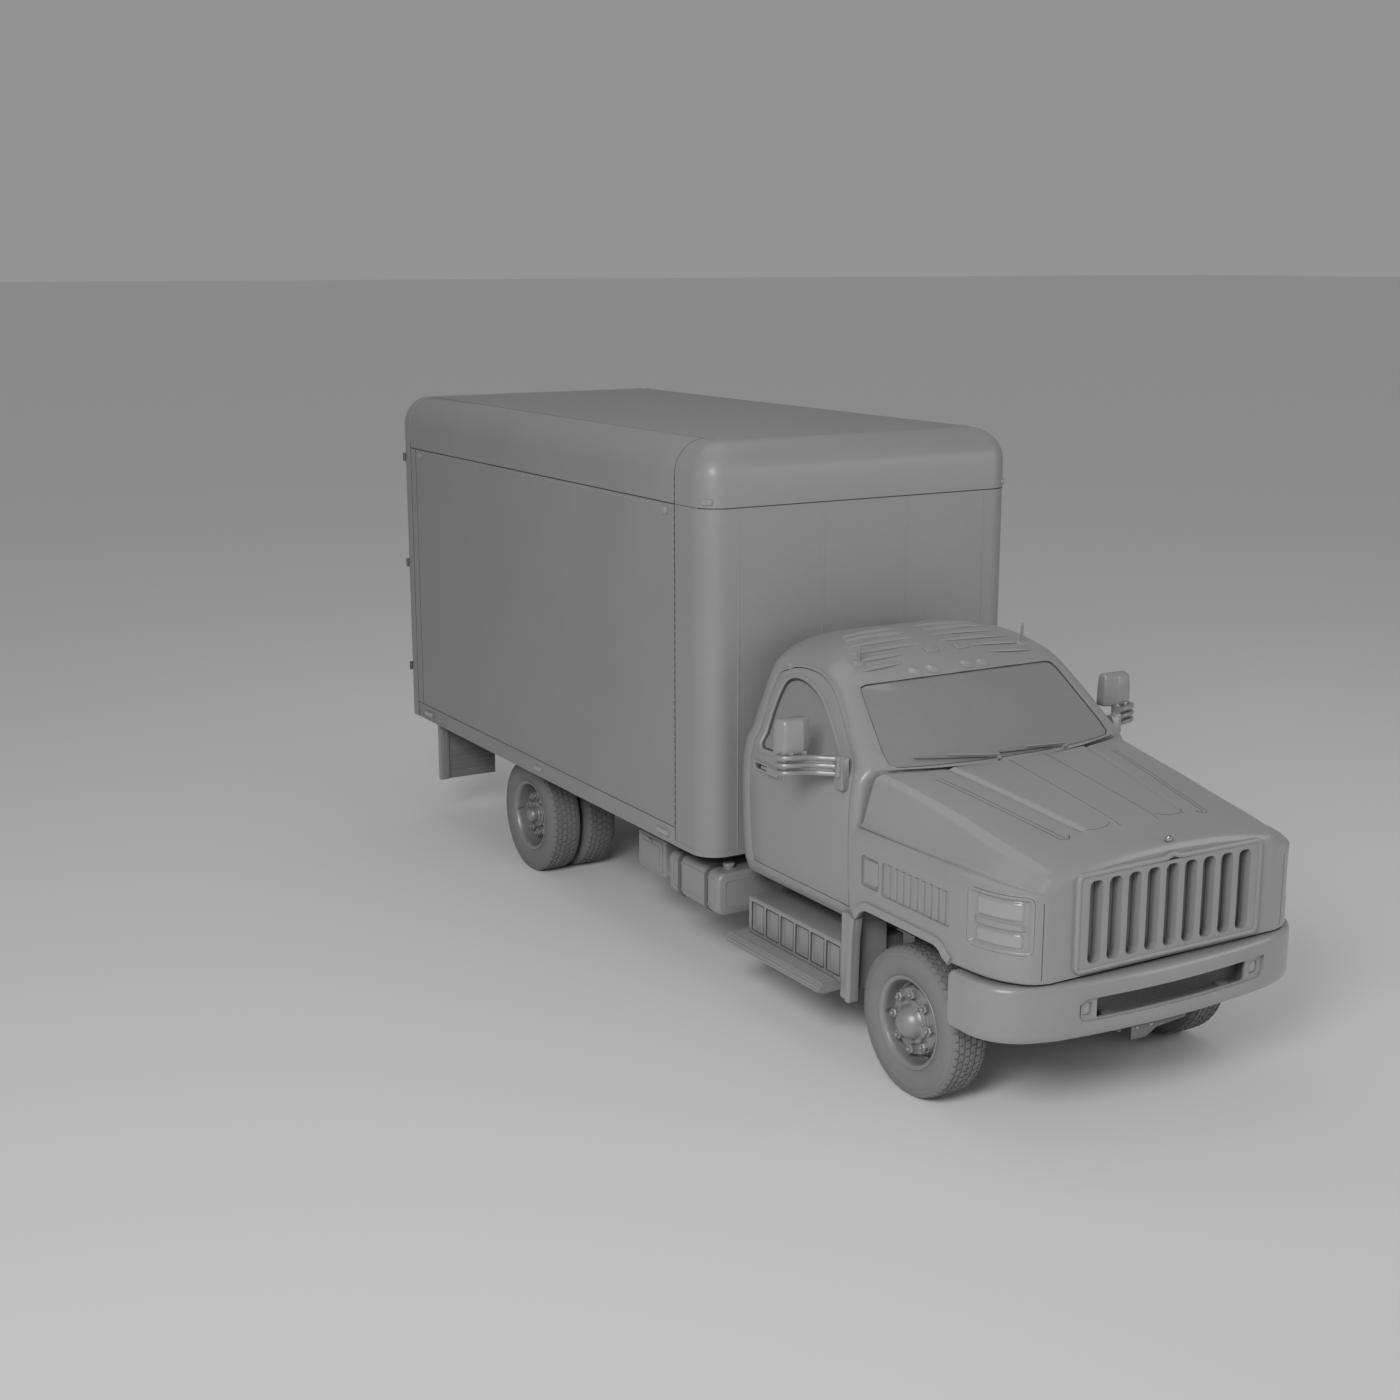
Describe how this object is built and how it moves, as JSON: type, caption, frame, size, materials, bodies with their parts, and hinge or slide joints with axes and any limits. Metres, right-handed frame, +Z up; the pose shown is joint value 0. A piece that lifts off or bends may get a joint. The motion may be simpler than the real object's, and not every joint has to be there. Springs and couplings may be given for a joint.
{
  "type": "box truck",
  "caption": "Conventional medium-duty box truck: tilting nose, two-door cab, ladder chassis on steered front and dual rear wheels, and a van body with swing rear doors.",
  "frame": {"origin": "on the ground under the middle of the whole truck's box", "axes": "+Y to the rear, -Y forward, +X to the truck's left, +Z up"},
  "size_m": [2.72, 7.897, 3.576],
  "materials": {
    "body_paint": "semi-gloss grey paint",
    "panel_grey": "semi-gloss grey sheet panels",
    "dark_metal": "satin dark grey chassis paint",
    "tyre_rubber": "matt grey rubber",
    "wheel_metal": "semi-gloss grey wheel enamel",
    "grey_glass": "smooth opaque grey glazing",
    "cab_trim": "matt grey cab trim"
  },
  "bodies": {
    "chassis": {"chassis_frame": "dark_metal", "front_axle": "dark_metal", "rear_axle": "dark_metal", "engine_block": "dark_metal", "drive_shaft": "dark_metal", "front_bumper": "body_paint", "splash_guard_left": "body_paint", "splash_guard_right": "body_paint", "step_left": "body_paint", "step_right": "body_paint", "fuel_tank": "body_paint", "equipment_box": "dark_metal", "mud_flap_left": "tyre_rubber", "mud_flap_right": "tyre_rubber", "cab_floor": "body_paint", "cab_back": "body_paint", "firewall": "body_paint", "cab_roof": "body_paint", "windshield": "grey_glass", "dashboard": "cab_trim", "seat_bench": "cab_trim", "steering_wheel": "cab_trim", "cargo_floor": "panel_grey", "long_sill_left": "dark_metal", "long_sill_right": "dark_metal", "cargo_front": "panel_grey", "cargo_roof": "panel_grey", "cargo_side_left": "panel_grey", "cargo_side_right": "panel_grey", "rear_frame": "panel_grey"},
    "nose": {"hood": "body_paint", "grille": "body_paint", "fender_left": "body_paint", "fender_right": "body_paint", "headlamp_left": "grey_glass", "headlamp_right": "grey_glass"},
    "cab_door_left": {"door_left": "body_paint", "door_glass_left": "grey_glass", "mirror_left": "body_paint"},
    "cab_door_right": {"door_right": "body_paint", "door_glass_right": "grey_glass", "mirror_right": "body_paint"},
    "rear_leaf_left": {"cargo_door_left": "panel_grey"},
    "rear_leaf_right": {"cargo_door_right": "panel_grey"},
    "steer_left": {"knuckle_left": "dark_metal"},
    "steer_right": {"knuckle_right": "dark_metal"},
    "front_wheel_left": {"front_rim_left": "wheel_metal", "front_tyre_left": "tyre_rubber"},
    "front_wheel_right": {"front_rim_right": "wheel_metal", "front_tyre_right": "tyre_rubber"},
    "rear_wheel_left": {"rear_rim_left": "wheel_metal", "rear_tyre_outer_left": "tyre_rubber", "rear_tyre_inner_left": "tyre_rubber"},
    "rear_wheel_right": {"rear_rim_right": "wheel_metal", "rear_tyre_outer_right": "tyre_rubber", "rear_tyre_inner_right": "tyre_rubber"}
  },
  "joints": [
    {"name": "hood_tilt", "type": "hinge", "parent": "chassis", "child": "nose", "pos_m": [0, -3.854, 0.95], "axis": [1, 0, 0], "range_deg": [0, 60]},
    {"name": "cab_door_left_swing", "type": "hinge", "parent": "chassis", "child": "cab_door_left", "pos_m": [1.035, -2.319, 0.955], "axis": [0, 0, -1], "range_deg": [0, 65]},
    {"name": "cab_door_right_swing", "type": "hinge", "parent": "chassis", "child": "cab_door_right", "pos_m": [-1.035, -2.319, 0.955], "axis": [0, 0, 1], "range_deg": [0, 65]},
    {"name": "rear_leaf_left_swing", "type": "hinge", "parent": "chassis", "child": "rear_leaf_left", "pos_m": [1.224, 3.935, 1.06], "axis": [0, 0, -1], "range_deg": [0, 260]},
    {"name": "rear_leaf_right_swing", "type": "hinge", "parent": "chassis", "child": "rear_leaf_right", "pos_m": [-1.224, 3.935, 1.06], "axis": [0, 0, 1], "range_deg": [0, 260]},
    {"name": "steer_left_turn", "type": "hinge", "parent": "chassis", "child": "steer_left", "pos_m": [0.79, -2.899, 0.438], "axis": [0, 0, 1], "range_deg": [-38, 38]},
    {"name": "steer_right_turn", "type": "hinge", "parent": "chassis", "child": "steer_right", "pos_m": [-0.79, -2.899, 0.438], "axis": [0, 0, 1], "range_deg": [-38, 38]},
    {"name": "front_wheel_left_spin", "type": "hinge", "parent": "steer_left", "child": "front_wheel_left", "pos_m": [0.925, -2.899, 0.438], "axis": [1, 0, 0], "continuous": true},
    {"name": "front_wheel_right_spin", "type": "hinge", "parent": "steer_right", "child": "front_wheel_right", "pos_m": [-0.925, -2.899, 0.438], "axis": [1, 0, 0], "continuous": true},
    {"name": "rear_wheel_left_spin", "type": "hinge", "parent": "chassis", "child": "rear_wheel_left", "pos_m": [0.932, 2.035, 0.438], "axis": [1, 0, 0], "continuous": true},
    {"name": "rear_wheel_right_spin", "type": "hinge", "parent": "chassis", "child": "rear_wheel_right", "pos_m": [-0.932, 2.035, 0.438], "axis": [1, 0, 0], "continuous": true}
  ],
  "couplings": [
    {"joint": "steer_right_turn", "follows": "steer_left_turn", "ratio": 1}
  ]
}
